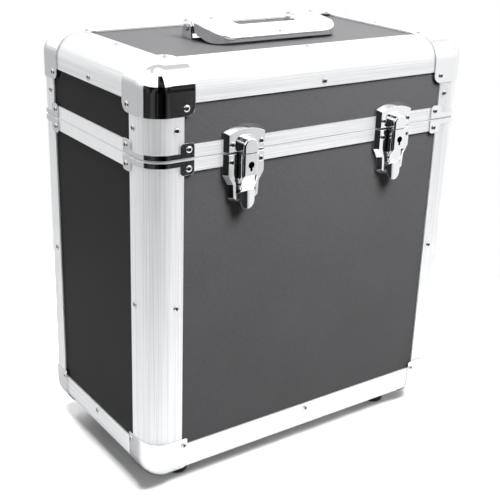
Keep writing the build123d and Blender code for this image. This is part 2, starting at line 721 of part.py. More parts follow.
def latch_base(x):
    """Body half: a tapered plate, a channel down its middle and two cheeks for the lever's pin."""
    length = CHANNEL_END - PLATE_SEAM
    middle = -(PLATE_SEAM + CHANNEL_END) / 2
    with BuildPart() as base:
        add(pressed_plate(x, base_outline(FLANK_RUN), -1))
        with BuildSketch(front_view(x)):
            with Locations((0, middle - LATCH_SHEET / 2)):
                Rectangle(2 * (CHANNEL + LATCH_SHEET), length + LATCH_SHEET)
        extrude(amount=PLATE_RISE)
        with BuildSketch(front_view(x, LATCH_SHEET)):
            with Locations((0, middle)):
                Rectangle(2 * CHANNEL, length + FIT)
        extrude(amount=PLATE_RISE, mode=Mode.SUBTRACT)
        for side in (-1, 1):
            with BuildSketch(side_view(x + side * (CHEEK_INNER + CHEEK / 2))):
                with BuildLine():
                    Polyline(
                        (0, -LATCH_SEAM),
                        (CHEEK_OUT, -LATCH_SEAM),
                        (CHEEK_OUT, -CHEEK_LEG),
                        (LEVER_PIVOT_OUT + EYE_RADIUS, -LEVER_PIVOT_DROP),
                        (LEVER_PIVOT_OUT, -LEVER_PIVOT_DROP - EYE_RADIUS),
                        (0, -LEVER_PIVOT_DROP - EYE_RADIUS),
                        close=True,
                    )
                make_face()
                with Locations((LEVER_PIVOT_OUT, -LEVER_PIVOT_DROP)):
                    Circle(EYE_RADIUS)
            extrude(amount=CHEEK / 2, both=True)
        with BuildSketch(side_view(x)):
            with Locations((LEVER_PIVOT_OUT, -LEVER_PIVOT_DROP)):
                Circle(PIN_RADIUS)
        extrude(amount=CHANNEL, both=True, mode=Mode.SUBTRACT)
    return base.part


def finger_outline():
    """The lever from the front: narrow between the hook's arms, then a wider finger with a round end."""
    half = FINGER_WIDTH / 2
    tip = half - LATCH_SHEET / 2
    with BuildSketch() as outline:
        with BuildLine():
            Polyline(
                (-tip, tip - FINGER_DROP),
                (-half, -WAIST_DROP - LATCH_SHEET),
                (-FLANGE_OUTER, -WAIST_DROP + LATCH_SHEET),
                (-FLANGE_OUTER, 0),
                (FLANGE_OUTER, 0),
                (FLANGE_OUTER, -WAIST_DROP + LATCH_SHEET),
                (half, -WAIST_DROP - LATCH_SHEET),
                (tip, tip - FINGER_DROP),
            )
            ThreePointArc((tip, tip - FINGER_DROP), (0, -FINGER_DROP), (-tip, tip - FINGER_DROP))
        make_face()
    return outline.sketch


def latch_lever(x):
    """Tongue with a crowned finger end and two side walls, between the cheeks; it carries the hook's pin."""
    back = TONGUE_FACE - TONGUE_SHEET
    waist_back = WAIST_OUT - TONGUE_SHEET
    down_finger = (0, WAIST_OUT - FINGER_OUT, WAIST_DROP - FINGER_DROP)
    crease = Plane(origin=(x, FRONT - WAIST_OUT, SEAM - WAIST_DROP), x_dir=(1, 0, 0), z_dir=down_finger)
    with BuildPart() as lever:
        with BuildSketch(side_view(x)):
            with BuildLine():
                Polyline(
                    (TONGUE_FACE, -TONGUE_TOP),
                    (WAIST_OUT, -WAIST_DROP),
                    (waist_back, -WAIST_DROP - TONGUE_SHEET),
                    (back, -TONGUE_TOP),
                    close=True,
                )
            make_face()
        extrude(amount=FINGER_WIDTH / 2, both=True)
        with BuildSketch(crease):
            with Locations((0, -FINGER_CROWN)):
                Circle(FINGER_CROWN)
                Circle(FINGER_CROWN - TONGUE_SHEET, mode=Mode.SUBTRACT)
        extrude(amount=FINGER_DROP)
        with BuildSketch(front_view(x)):
            add(finger_outline())
        extrude(amount=NOSE_OUT, mode=Mode.INTERSECT)
        for side in (-1, 1):
            with BuildSketch(side_view(x + side * (FLANGE_OUTER - FLANGE / 2))):
                with BuildLine():
                    Polyline(
                        (LEVER_PIVOT_OUT, -LEVER_PIVOT_DROP + EYE_RADIUS),
                        (back, -LEVER_PIVOT_DROP + EYE_RADIUS),
                        (waist_back + TONGUE_SHEET / 2, -WAIST_DROP + TONGUE_SHEET),
                        (HOOK_PIVOT_OUT, -HOOK_PIVOT_DROP - EYE_RADIUS),
                        (LEVER_PIVOT_OUT - EYE_RADIUS, -LEVER_PIVOT_DROP),
                        close=True,
                    )
                make_face()
                for out, drop in ((LEVER_PIVOT_OUT, LEVER_PIVOT_DROP), (HOOK_PIVOT_OUT, HOOK_PIVOT_DROP)):
                    with Locations((out, -drop)):
                        Circle(EYE_RADIUS)
            extrude(amount=FLANGE / 2, both=True)
        with BuildSketch(side_view(x)):
            with Locations((LEVER_PIVOT_OUT, -LEVER_PIVOT_DROP)):
                Circle(PIN_RADIUS + PIN_FIT)
            with Locations((HOOK_PIVOT_OUT, -HOOK_PIVOT_DROP)):
                Circle(PIN_RADIUS)
        extrude(amount=FLANGE_OUTER + FIT, both=True, mode=Mode.SUBTRACT)
    return lever.part


def keyhole():
    """Round hole with a slot under it, centred on the barrel."""
    with BuildSketch() as hole:
        Circle(KEYHOLE_RADIUS)
        with Locations((0, -KEYHOLE_LENGTH / 2)):
            Rectangle(KEYHOLE_SLOT, KEYHOLE_LENGTH)
    return Pos(0, -KEYHOLE_DROP) * hole.sketch


def cover_channel(x):
    """Lock cover and its two side arms, folded from one sheet and cut to the arms' outline."""
    back = HOOK_PIVOT_OUT - EYE_RADIUS
    clear_pin = LEVER_PIVOT_OUT + PIN_RADIUS + 2 * FIT
    looking_down = Plane(origin=(x, FRONT, SEAM - LATCH_SEAM), x_dir=(1, 0, 0), z_dir=(0, 0, -1))
    with BuildPart() as channel:
        with BuildSketch(looking_down) as plan:
            with Locations((0, (back + NOSE_OUT) / 2)):
                Rectangle(NOSE_WIDTH, NOSE_OUT - back)
            fillet(plan.vertices().group_by(Axis.Y)[-1], radius=NOSE_EDGE)
            with Locations((0, (back + COVER_BACK) / 2)):
                Rectangle(2 * HOOK_SIDE_INNER, COVER_BACK - back, mode=Mode.SUBTRACT)
        extrude(amount=HOOK_PIVOT_DROP + EYE_RADIUS)
        with BuildSketch(side_view(x)):
            with BuildLine():
                Polyline(
                    (HOOK_PIVOT_OUT, -HOOK_PIVOT_DROP + EYE_RADIUS / 2),
                    (clear_pin, -HOOK_PIVOT_DROP + EYE_RADIUS + FIT),
                    (clear_pin, -KEYHOLE_DROP),
                    (COVER_BACK - FIT, -KEYHOLE_DROP),
                    (COVER_BACK - FIT, 0),
                    (NOSE_OUT, 0),
                    (NOSE_OUT, -COVER_DROP - FIT),
                    (HOOK_PIVOT_OUT + EYE_RADIUS, -HOOK_PIVOT_DROP),
                    close=True,
                )
            make_face()
            with Locations((HOOK_PIVOT_OUT, -HOOK_PIVOT_DROP)):
                Circle(EYE_RADIUS)
        extrude(amount=NOSE_WIDTH, both=True, mode=Mode.INTERSECT)
        with BuildSketch(front_view(x)):
            with Locations((0, -COVER_DROP - LATCH_WIDTH / 2)):
                Rectangle(2 * HOOK_SIDE_INNER, LATCH_WIDTH)
        extrude(amount=2 * NOSE_OUT, mode=Mode.SUBTRACT)
    return channel.part


def latch_hook(x):
    """Lock cover with its side arms, the lock case behind it and the hook that rises into the nose."""
    arm_front = HOOK_ARM_OUT + HOOK_ARM
    shelf = -BOLT_TOP + FIT + BOLT_ROOM
    with BuildPart() as hook:
        add(cover_channel(x))
        with BuildSketch(front_view(x, LOCK_IN)):
            with Locations((0, -(LOCK_TOP + LOCK_BOTTOM) / 2)):
                Rectangle(LOCK_WIDTH, LOCK_BOTTOM - LOCK_TOP)
        extrude(amount=COVER_BACK - LOCK_IN)
        with BuildSketch(front_view(x, LOCK_IN)):
            with Locations((0, -(BOLT_TOP - BOLT_ROOM + COVER_DROP) / 2)):
                Rectangle(BOLT_WIDTH + 2 * BOLT_ROOM, COVER_DROP - BOLT_TOP + BOLT_ROOM)
        extrude(amount=BOLT_OUT + BOLT_THICK + BOLT_ROOM - LOCK_IN, mode=Mode.SUBTRACT)
        with BuildSketch(side_view(x)):
            with BuildLine():
                Polyline(
                    (HOOK_ARM_OUT, shelf),
                    (HOOK_ARM_OUT, NIB_UNDER),
                    (NIB_TIP, NIB_UNDER),
                    (NIB_TIP, NIB_TOP),
                    (arm_front, NIB_TOP),
                    (arm_front, -LOCK_TOP),
                    (COVER_BACK, -LOCK_TOP),
                    (COVER_BACK, shelf),
                    close=True,
                )
            make_face()
        extrude(amount=HOOK_ARM_WIDTH / 2, both=True)
        with BuildSketch(side_view(x)):
            with Locations((HOOK_PIVOT_OUT, -HOOK_PIVOT_DROP)):
                Circle(PIN_RADIUS + PIN_FIT)
        extrude(amount=NOSE_WIDTH, both=True, mode=Mode.SUBTRACT)
        with BuildSketch(front_view(x, BOLT_OUT + BOLT_THICK + 2 * BOLT_ROOM)):
            add(keyhole())
        extrude(amount=NOSE_OUT, mode=Mode.SUBTRACT)
    return hook.part


def lock_bolt(x):
    """Flat bolt behind the lock cover; down, it stands behind the lever's top edge."""
    with BuildPart() as bolt:
        with BuildSketch(front_view(x, BOLT_OUT)):
            with Locations((0, -(BOLT_TOP + BOLT_BOTTOM) / 2)):
                Rectangle(BOLT_WIDTH, BOLT_BOTTOM - BOLT_TOP)
            with Locations((0, -KEYHOLE_DROP - KEYHOLE_LENGTH)):
                Rectangle(BOLT_WIDTH / 2, KEYHOLE_SLOT, mode=Mode.SUBTRACT)
        extrude(amount=BOLT_THICK)
    return bolt.part


def headed_pin(plane, radius, half_length, head_radius, head_length):
    """A pin across the latch with a formed head at both ends."""
    with BuildPart() as pin:
        with BuildSketch(plane):
            Circle(radius)
        extrude(amount=half_length + head_length, both=True)
        for direction in (-1, 1):
            with BuildSketch(plane.offset(direction * half_length)):
                Circle(head_radius)
            extrude(amount=direction * head_length)
    return pin.part


def leaf_spring(x):
    """Bowed strip on the base that throws the hook outwards when the lever lets it go."""
    middle = -(SPRING_TOP + SPRING_BOTTOM) / 2
    foot = LATCH_SHEET + PIN_FIT
    with BuildPart() as spring:
        with BuildSketch(side_view(x)):
            with BuildLine():
                ThreePointArc((foot, -SPRING_TOP), (SPRING_OUT, middle), (foot, -SPRING_BOTTOM))
                Line((foot, -SPRING_BOTTOM), (foot, -SPRING_BOTTOM + 2 * SPRING))
                ThreePointArc((foot, -SPRING_BOTTOM + 2 * SPRING), (SPRING_OUT - SPRING, middle),
                              (foot, -SPRING_TOP - 2 * SPRING))
                Line((foot, -SPRING_TOP - 2 * SPRING), (foot, -SPRING_TOP))
            make_face()
        extrude(amount=SPRING_WIDTH / 2, both=True)
    return spring.part


LATCH_PLACES = (("left", -LATCH_X), ("right", LATCH_X))
hook_pin_reach = NOSE_WIDTH / 2
for side, x in LATCH_PLACES:
    save(strike_plate(x), f"latch_strike_{side}")
    save(latch_base(x), f"latch_base_{side}")
    save(latch_lever(x), f"latch_lever_{side}")
    save(latch_hook(x), f"latch_hook_{side}")
    save(lock_bolt(x), f"lock_bolt_{side}")
    across = Plane(origin=(x, FRONT - HOOK_PIVOT_OUT, SEAM - HOOK_PIVOT_DROP),
                   x_dir=(0, 1, 0), z_dir=(1, 0, 0))
    save(headed_pin(across, PIN_RADIUS, hook_pin_reach + PIN_FIT, PIN_HEAD_RADIUS, PIN_HEAD),
         f"hook_pin_{side}")

with BuildPart() as lever_pins:
    for _, x in LATCH_PLACES:
        across = Plane(origin=(x, FRONT - LEVER_PIVOT_OUT, SEAM - LEVER_PIVOT_DROP),
                       x_dir=(0, 1, 0), z_dir=(1, 0, 0))
        add(headed_pin(across, PIN_RADIUS, CHEEK_OUTER, PIN_HEAD_RADIUS, PIN_HEAD))
save(lever_pins.part, "lever_pins")

with BuildPart() as springs:
    for _, x in LATCH_PLACES:
        add(leaf_spring(x))
save(springs.part, "hook_springs")

# ================================================================ handle
BOARD_TOP = TOP - PANEL_FACE


def handle_bracket(side):
    """U-shaped bracket: a base on the board and two lugs that narrow to a round top."""
    with BuildPart() as bracket:
        with BuildSketch(Plane.XY.offset(BOARD_TOP)):
            with Locations((side * (LUG_INNER + LUG_OUTER) / 2, HANDLE_Y)):
                Rectangle(LUG_OUTER - LUG_INNER, LUG_FOOT)
        extrude(amount=LUG)
        for lug_middle in (side * (LUG_INNER + LUG / 2), side * (LUG_OUTER - LUG / 2)):
            lug_face = Plane(origin=(lug_middle, HANDLE_Y, HANDLE_Z), x_dir=(0, 1, 0), z_dir=(1, 0, 0))
            with BuildSketch(lug_face):
                with BuildLine():
                    Polyline(
                        (-LUG_RADIUS, 0),
                        (-LUG_FOOT / 2, BOARD_TOP - HANDLE_Z),
                        (LUG_FOOT / 2, BOARD_TOP - HANDLE_Z),
                        (LUG_RADIUS, 0),
                    )
                    ThreePointArc((LUG_RADIUS, 0), (0, LUG_RADIUS), (-LUG_RADIUS, 0))
                make_face()
                Circle(HANDLE_PIN_RADIUS, mode=Mode.SUBTRACT)
            extrude(amount=LUG / 2, both=True)
    return bracket.part


for name, side in (("left", -1), ("right", 1)):
    save(handle_bracket(side), f"handle_bracket_{name}")

with BuildPart() as handle_pins:
    for side in (-1, 1):
        middle = side * (LUG_INNER + LUG_OUTER) / 2
        across = Plane(origin=(middle, HANDLE_Y, HANDLE_Z), x_dir=(0, 1, 0), z_dir=(1, 0, 0))
        add(headed_pin(across, HANDLE_PIN_RADIUS, (LUG_OUTER - LUG_INNER) / 2, HANDLE_PIN_HEAD,
                       HANDLE_PIN_HEAD_LENGTH))
save(handle_pins.part, "handle_pins")


def window_plan(inset):
    """The finger window: wide between the brackets, narrower towards the grip."""
    head = BARREL_INNER + inset
    half = WINDOW_HALF + inset
    front = -BAIL_REACH + GRIP_DEPTH - inset
    with BuildSketch() as window:
        with BuildLine():
            Polyline(
                (-head, 2 * BARREL_RADIUS),
                (-head, -BAIL_HEAD),
                (-half, -BAIL_WAIST),
                (-half, front),
                (half, front),
                (half, -BAIL_WAIST),
                (head, -BAIL_HEAD),
                (head, 2 * BARREL_RADIUS),
                close=True,
            )
        make_face()
        bends = [vertex for vertex in window.vertices() if vertex.Y < 0]
        fillet(bends, radius=WINDOW_CORNER)
    return window.sketch


def bail_plan(inset):
    """The folded bail from above, shrunk all round by a wall if asked."""
    outer = BARREL_OUTER - inset
    front = -BAIL_REACH + inset
    with BuildSketch() as plan:
        with BuildLine():
            Polyline((-outer, 0), (-outer, front), (outer, front), (outer, 0), close=True)
        make_face()
        bends = [vertex for vertex in plan.vertices() if vertex.Y < -BAIL_HEAD]
        fillet(bends, radius=BAIL_CORNER - inset)
        add(window_plan(inset), mode=Mode.SUBTRACT)
    return plan.sketch


def bail_side(wall, deep):
    """Side of the bail: it falls gently to a crease across the grip and more steeply to its front."""
    front = -BAIL_REACH + wall
    crown = BARREL_RADIUS - wall
    crease = (-BAIL_REACH + GRIP_CREASE, CREASE_TOP - wall)
    with BuildSketch() as profile:
        with BuildLine():
            top = Spline(
                (0, crown),
                (-BAIL_HEAD, crown - BAIL_FALL),
                (-BAIL_REACH + GRIP_DEPTH, GRIP_TOP - wall),
                crease,
            )
            slope = Line(crease, (front, GRIP_FRONT_TOP - wall))
            under = Spline(
                (front, -BAIL_UNDER - deep),
                (-BAIL_REACH + GRIP_DEPTH, -BAIL_UNDER - deep),
                (-BAIL_HEAD, -BAIL_UNDER / 2 - deep),
                (0, -BAIL_UNDER / 3 - deep),
            )
            Line(slope @ 1, under @ 0)
            Line(under @ 1, top @ 0)
        make_face()
    return profile.sketch


def bail_layer(inset, deep):
    """The bail's arms and grip as a block, or the hollow under it."""
    with BuildPart() as layer:
        with BuildSketch(Plane(origin=(0, HANDLE_Y, HANDLE_Z - 2 * BARREL_RADIUS), z_dir=(0, 0, 1))):
            add(bail_plan(inset))
        extrude(amount=4 * BARREL_RADIUS)
        with BuildSketch(Plane(origin=(0, HANDLE_Y, HANDLE_Z), x_dir=(0, 1, 0), z_dir=(1, 0, 0))):
            add(bail_side(inset, deep))
        extrude(amount=LUG_OUTER, both=True, mode=Mode.INTERSECT)
    return layer.part


with BuildPart() as bail:
    add(bail_layer(0, 0))
    crown = bail.faces().filter_by(lambda face: face.normal_at().Z > face.normal_at().Y ** 2)
    sides = crown.edges().filter_by(lambda edge: abs(edge.center().X) > BARREL_OUTER - BAIL_CORNER / 2)
    fillet(sides, radius=BAIL_EDGE)
    add(bail_layer(BAIL_WALL, BAIL_UNDER), mode=Mode.SUBTRACT)
    for side in (-1, 1):
        middle = side * (BARREL_INNER + BARREL_OUTER) / 2
        with BuildSketch(Plane(origin=(middle, HANDLE_Y, HANDLE_Z), x_dir=(0, 1, 0), z_dir=(1, 0, 0))):
            Circle(BARREL_RADIUS)
        extrude(amount=(BARREL_OUTER - BARREL_INNER) / 2, both=True)
    with BuildSketch(Plane(origin=(0, HANDLE_Y, HANDLE_Z), x_dir=(0, 1, 0), z_dir=(1, 0, 0))):
        Circle(HANDLE_PIN_RADIUS + PIN_FIT)
    extrude(amount=LUG_OUTER, both=True, mode=Mode.SUBTRACT)
    slope = (CREASE_TOP - GRIP_FRONT_TOP) / GRIP_CREASE
    dimple = (0, HANDLE_Y - BAIL_REACH + DIMPLE_IN, HANDLE_Z + GRIP_FRONT_TOP + DIMPLE_IN * slope)
    with BuildSketch(Plane(origin=dimple, x_dir=(1, 0, 0), z_dir=(0, -slope, 1))):
        Circle(DIMPLE_RADIUS)
    extrude(amount=-DIMPLE, mode=Mode.SUBTRACT)
save(bail.part, "handle_bail")


# ================================================================ rivets
def rivet_heads(places):
    """Domed heads; each place is a point on a surface and the way that surface faces."""
    with BuildPart() as heads:
        for point, outward in places:
            face = Plane(origin=point, z_dir=outward)
            with BuildSketch(face):
                Circle(RIVET_RADIUS)
            with BuildSketch(face.offset(RIVET_CROWN)):
                Circle(RIVET_FLAT)
            loft()
    return heads.part


POST_RIVET = 25.5          # from the edge of the case
POST_RIVET_DROP = 130.0    # below the seam
LID_POST_RIVET = 24.0      # above the seam
EDGE_RIVET_UP = 28.0       # bottom edge, above its lowest line
TOP_RIVET_DROP = 25.3      # top edge, below the top
TOP_RIVET_IN = 26.8
EAR_RIVET = 33.5
BRACE_RIVET_IN = 36.0
BRACE_RIVET_DROP = 8.0
LATCH_RIVET_X = 14.5
STRIKE_RIVET_UP = 7.4
BASE_RIVET_DROP = 7.6
BASE_RIVET_LOW = 40.0
HINGE_RIVET_X = 17.0
HINGE_RIVET_DROP = 8.2
HINGE_RIVET_LOW = 20.0

WALLS = (
    ((0, FRONT), (1, 0), (0, -1), WIDTH / 2),
    ((0, BACK), (1, 0), (0, 1), WIDTH / 2),
    ((LEFT, CASE_Y), (0, 1), (-1, 0), DEPTH / 2),
    ((-LEFT, CASE_Y), (0, 1), (1, 0), DEPTH / 2),
)


def wall_point(wall, across, z, proud=0.0):
    """Point on a wall, measured from its middle, with the wall's outward direction."""
    (x, y), (ax, ay), (ox, oy), _ = wall
    return (x + ax * across + ox * proud, y + ay * across + oy * proud, z), (ox, oy, 0)


body_rivets = []
lid_rivets = []
for wall in WALLS:
    half = wall[3]
    brace_rivet = half - BRACE_RIVET_IN
    body_rivets.append(wall_point(wall, 0, BOTTOM + EDGE_RIVET_UP))
    lid_rivets.append(wall_point(wall, 0, TOP - TOP_RIVET_DROP))
    for side in (-1, 1):
        body_rivets.append(wall_point(wall, side * (half - POST_RIVET), SEAM - POST_RIVET_DROP))
        body_rivets.append(wall_point(wall, side * (half - EAR_RIVET), BOTTOM + EAR_RIVET, PRESSING))
        body_rivets.append(wall_point(wall, side * brace_rivet, SEAM - BRACE_RIVET_DROP, PRESSING))
        lid_rivets.append(wall_point(wall, side * (half - POST_RIVET), SEAM + LID_POST_RIVET))
        lid_rivets.append(wall_point(wall, side * (half - EAR_RIVET), TOP - EAR_RIVET, PRESSING))
        lid_rivets.append(wall_point(wall, side * brace_rivet, SEAM + BRACE_RIVET_DROP, PRESSING))

for side_x in (-1, 1):
    lid_rivets.append(((side_x * (WIDTH / 2 - TOP_RIVET_IN), CASE_Y, TOP), (0, 0, 1)))
    lid_rivets.append(((0, CASE_Y + side_x * (DEPTH / 2 - TOP_RIVET_IN), TOP), (0, 0, 1)))
    for side_y in (-1, 1):
        ear_x = side_x * (WIDTH / 2 - EAR_RIVET)
        ear_y = CASE_Y + side_y * (DEPTH / 2 - EAR_RIVET)
        lid_rivets.append(((ear_x, ear_y, TOP + PRESSING), (0, 0, 1)))
        under_x = side_x * (WIDTH / 2 - CORNER_UNDER + CORNER_LOBE)
        under_y = CASE_Y + side_y * (DEPTH / 2 - CORNER_UNDER + CORNER_LOBE)
        body_rivets.append(((under_x, under_y, BOTTOM - PRESSING), (0, 0, -1)))

for _, x in LATCH_PLACES:
    body_rivets.append(wall_point(WALLS[0], x, SEAM - BASE_RIVET_LOW, PLATE_RISE))
    for side in (-1, 1):
        across = x + side * LATCH_RIVET_X
        lid_rivets.append(wall_point(WALLS[0], across, SEAM + STRIKE_RIVET_UP, PLATE_RISE))
        body_rivets.append(wall_point(WALLS[0], across, SEAM - BASE_RIVET_DROP, PLATE_RISE))
for x in HINGE_PLACES:
    for side in (-1, 1):
        across = x + side * HINGE_RIVET_X
        for drop, proud in ((HINGE_RIVET_DROP, LEAF), (HINGE_RIVET_LOW, LEAF - PANEL_FACE)):
            body_rivets.append(wall_point(WALLS[1], across, SEAM - drop, proud))
            lid_rivets.append(wall_point(WALLS[1], across, SEAM + drop, proud))
for side in (-1, 1):
    lid_rivets.append(((side * (LUG_INNER + LUG_OUTER) / 2, HANDLE_Y, BOARD_TOP + LUG), (0, 0, 1)))

save(rivet_heads(body_rivets), "body_rivets")
save(rivet_heads(lid_rivets), "lid_rivets")
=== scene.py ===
# %% [markdown]
# # A carrying case for 12-inch records
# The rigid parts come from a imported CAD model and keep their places. This file gives them their
# finishes, makes the rivets and the felt lining, and sets up the studio. Everything is in metres,
# +Z is up and the latches face -Y.

import math

import bmesh
import bpy
from mathutils import Matrix, Vector, noise


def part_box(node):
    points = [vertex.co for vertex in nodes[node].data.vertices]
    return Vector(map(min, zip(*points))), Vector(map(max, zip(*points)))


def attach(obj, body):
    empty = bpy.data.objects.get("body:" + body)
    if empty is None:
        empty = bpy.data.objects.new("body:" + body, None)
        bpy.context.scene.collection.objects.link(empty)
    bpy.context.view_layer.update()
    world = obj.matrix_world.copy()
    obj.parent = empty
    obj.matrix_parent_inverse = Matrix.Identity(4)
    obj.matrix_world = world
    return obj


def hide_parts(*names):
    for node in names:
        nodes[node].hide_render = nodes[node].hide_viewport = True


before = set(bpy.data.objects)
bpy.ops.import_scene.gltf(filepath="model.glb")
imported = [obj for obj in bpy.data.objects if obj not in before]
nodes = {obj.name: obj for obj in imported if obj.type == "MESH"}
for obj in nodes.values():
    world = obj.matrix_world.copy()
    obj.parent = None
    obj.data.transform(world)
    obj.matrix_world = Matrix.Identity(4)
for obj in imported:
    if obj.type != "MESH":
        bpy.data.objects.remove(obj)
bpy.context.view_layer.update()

# %% [markdown]
# ## Helpers
# Every finish is a small node tree. One helper adds a node, sets its options and fills its sockets
# with values or links, and a few short ones stand for the steps that come up again and again.
# Colours are written as sRGB hex, as a paint chart gives them, and turned to the linear light that
# the shader works in. Patterns are sized in metres or in spots for each metre.

# %% Nodes, colours and objects
MM = 0.001


def linear(hex_colour):
    """sRGB hex to linear RGBA."""
    channels = [int(hex_colour[i:i + 2], 16) / 255 for i in (1, 3, 5)]
    return [c / 12.92 if c <= 0.04045 else ((c + 0.055) / 1.055) ** 2.4 for c in channels] + [1.0]


def node(tree, kind, inputs=None, **settings):
    """Adds a node; inputs maps sockets to values or to other nodes' outputs."""
    made = tree.nodes.new(kind)
    for name, value in settings.items():
        setattr(made, name, value)
    for socket, value in (inputs or {}).items():
        if isinstance(value, bpy.types.NodeSocket):
            tree.links.new(value, made.inputs[socket])
        else:
            made.inputs[socket].default_value = value
    return made


def new_material(name, **values):
    """A material with a Principled shader whose plain values are set on its own sockets."""
    material = bpy.data.materials.new(name)
    material.use_nodes = True
    tree = material.node_tree
    tree.nodes.clear()
    shader = node(tree, "ShaderNodeBsdfPrincipled")
    for socket, value in values.items():
        shader.inputs[socket.replace("_", " ")].default_value = value
    node(tree, "ShaderNodeOutputMaterial", {"Surface": shader.outputs[0]})
    return material, tree, shader


def object_space(tree, scale=(1, 1, 1)):
    """Object coordinates, stretched."""
    place = node(tree, "ShaderNodeTexCoord").outputs["Object"]
    return node(tree, "ShaderNodeMapping", {"Vector": place, "Scale": scale}).outputs[0]


def spots(tree, place, scale, detail=2.0):
    """Soft noise from 0 to 1, with this many spots for each unit of place."""
    sockets = {"Vector": place, "Scale": scale, "Detail": detail}
    return node(tree, "ShaderNodeTexNoise", sockets).outputs[0]


def remap(tree, value, low, high, to_low, to_high):
    """Maps one range of a value to another, clamped."""
    sockets = {"Value": value, "From Min": low, "From Max": high,
               "To Min": to_low, "To Max": to_high}
    return node(tree, "ShaderNodeMapRange", sockets).outputs[0]


def maths(tree, operation, *values):
    """One step of arithmetic."""
    return node(tree, "ShaderNodeMath", dict(enumerate(values)), operation=operation).outputs[0]


def vector_maths(tree, operation, *values, output=0):
    """One step of arithmetic with vectors."""
    step = node(tree, "ShaderNodeVectorMath", dict(enumerate(values)), operation=operation)
    return step.outputs[output]


def blend(tree, factor, first, second, data_type="RGBA"):
    """A mix of two colours or vectors."""
    sockets = {"Factor": factor, "A": first, "B": second}
    return node(tree, "ShaderNodeMix", sockets, data_type=data_type).outputs["Result"]


def wire(tree, shader, **links):
    """Links outputs to a shader's sockets."""
    for socket, output in links.items():
        tree.links.new(output, shader.inputs[socket.replace("_", " ")])


def add_object(name, data):
    """An object in the scene's own collection."""
    made = bpy.data.objects.new(name, data)
    bpy.context.scene.collection.objects.link(made)
    return made


print("middle grey #808080 is", round(linear("#808080")[0], 3), "in linear light")

# %% [markdown]
# ## Laminate
# The boards are plywood faced with a dark grey high-pressure laminate. It is pressed against a
# textured sheet, which leaves a leathery grain, so the surface is neither matt nor glossy: it greys
# out towards the light. Two sizes of noise give the grain and the faint cloudiness of a wide board.
# The real grain is about 0.5 mm across; it is drawn at 0.7 mm.

# %% Laminate finish
GRAIN = 0.7 * MM
GRAIN_DEPTH = 0.15 * MM
CLOUDS_PER_METRE = 14.0


def pressed_laminate():
    material, tree, shader = new_material(
        "pressed_grey_laminate", IOR=1.5, Specular_IOR_Level=0.08
    )
    place = object_space(tree)
    sockets = {"Vector": place, "Scale": 1 / GRAIN}
    grain = node(tree, "ShaderNodeTexVoronoi", sockets).outputs["Distance"]
    fleck = spots(tree, place, 0.5 / GRAIN, 3.0)
    cloud = spots(tree, place, CLOUDS_PER_METRE)
    mixed = maths(tree, "ADD", remap(tree, fleck, 0.3, 0.7, 0.0, 0.75),
                  remap(tree, cloud, 0.3, 0.7, 0.0, 0.25))
    relief = node(tree, "ShaderNodeBump", {"Height": grain, "Strength": 0.22,
                                           "Distance": GRAIN_DEPTH}).outputs[0]
    wire(tree, shader, Base_Color=blend(tree, mixed, linear("#272728"), linear("#2f2f30")),
         Roughness=remap(tree, fleck, 0.3, 0.7, 0.46, 0.58), Normal=relief)
    return material


laminate = pressed_laminate()
print("laminate grain, mm:", GRAIN / MM)

# %% [markdown]
# ## Anodised aluminium
# The edges are extrusions, so everything on them runs lengthwise: the die leaves faint lines a
# fraction of a millimetre apart and the anodising turns them into a silky white sheen. Noise that
# is stretched along the profile makes the lines. There is one material for each direction that a
# profile can lie in, and their tints differ a little as painted light and shade, fitted to how
# light each direction looks in the photograph. The real lines are about 0.2 mm apart, too fine to
# show, so they are drawn at 0.8 mm.

# %% Aluminium finish
DIE_LINES = 0.8 * MM
LINE_DEPTH = 0.1 * MM
LINE_ENDS_PER_METRE = 6.0
BAND_SHARE = 0.12
LINE_TINTS_AND_PAINTED_SHADE = (("#eaebec", "#f8f9fa"), ("#e4e5e6", "#f2f3f4"), ("#e2e3e4", "#f0f1f2"))
ALUMINIUM_ROUNDING = 0.4 * MM


def anodised_aluminium(axis):
    """Extruded aluminium whose lines run along the X, Y or Z axis."""
    name = "anodised_extruded_aluminium_" + "xyz"[axis]
    material, tree, shader = new_material(name, Metallic=1.0)
    stretch = [1 / DIE_LINES] * 3
    stretch[axis] = LINE_ENDS_PER_METRE
    lines = spots(tree, object_space(tree, stretch), 1.0)
    bands = spots(tree, object_space(tree, [size * BAND_SHARE for size in stretch]), 1.0)
    # Painted light and shade: each direction's pair of tints is a little paler or darker, by how
    # lit that direction looks.
    dark, light = LINE_TINTS_AND_PAINTED_SHADE[axis]
    tint = blend(tree, remap(tree, lines, 0.35, 0.65, 0.0, 1.0), linear(dark), linear(light))
    soft_edge = node(tree, "ShaderNodeBevel", {"Radius": ALUMINIUM_ROUNDING}, samples=4).outputs[0]
    relief = node(tree, "ShaderNodeBump", {"Height": lines, "Strength": 0.14,
                                           "Distance": LINE_DEPTH, "Normal": soft_edge}).outputs[0]
    wire(tree, shader, Base_Color=tint, Normal=relief,
         Roughness=remap(tree, bands, 0.35, 0.65, 0.68, 0.80))
    return material


aluminium = [anodised_aluminium(axis) for axis in range(3)]
print("aluminium finishes:", [m.name for m in aluminium])

# %% [markdown]
# ## Chrome
# The corners, braces, latches and handle are pressed steel with a bright chrome plate. Chrome is a
# mirror, so what it shows is the studio. What makes it look pressed is that the mirror is not quite
# flat. A broad, very shallow bump bends the reflections, a fine haze in the roughness stands for
# polishing, and the bevel node rounds the sheet's edges by a third of a millimetre so that they
# catch the light. The CAD model has a shallow floor behind each keyhole. The lock covers have a
# chrome of their own with painted shade: it turns black there, where a deep hole would be dark,
# inside a small box that is measured from the cover.

# %% Chrome finish
WAVES_PER_METRE = 45.0
WAVE_DEPTH = 1.0 * MM
HAZE_PER_METRE = 600.0
HAZE_ROUGHNESS = 0.04
SHEET_ROUNDING = 0.35 * MM
KEYHOLE_LOW, KEYHOLE_HIGH = 299 * MM, 310.5 * MM
KEYHOLE_HALF = 3.4 * MM
LOCK_DEPTH = 2.5 * MM
COVER_RIM = 0.4 * MM


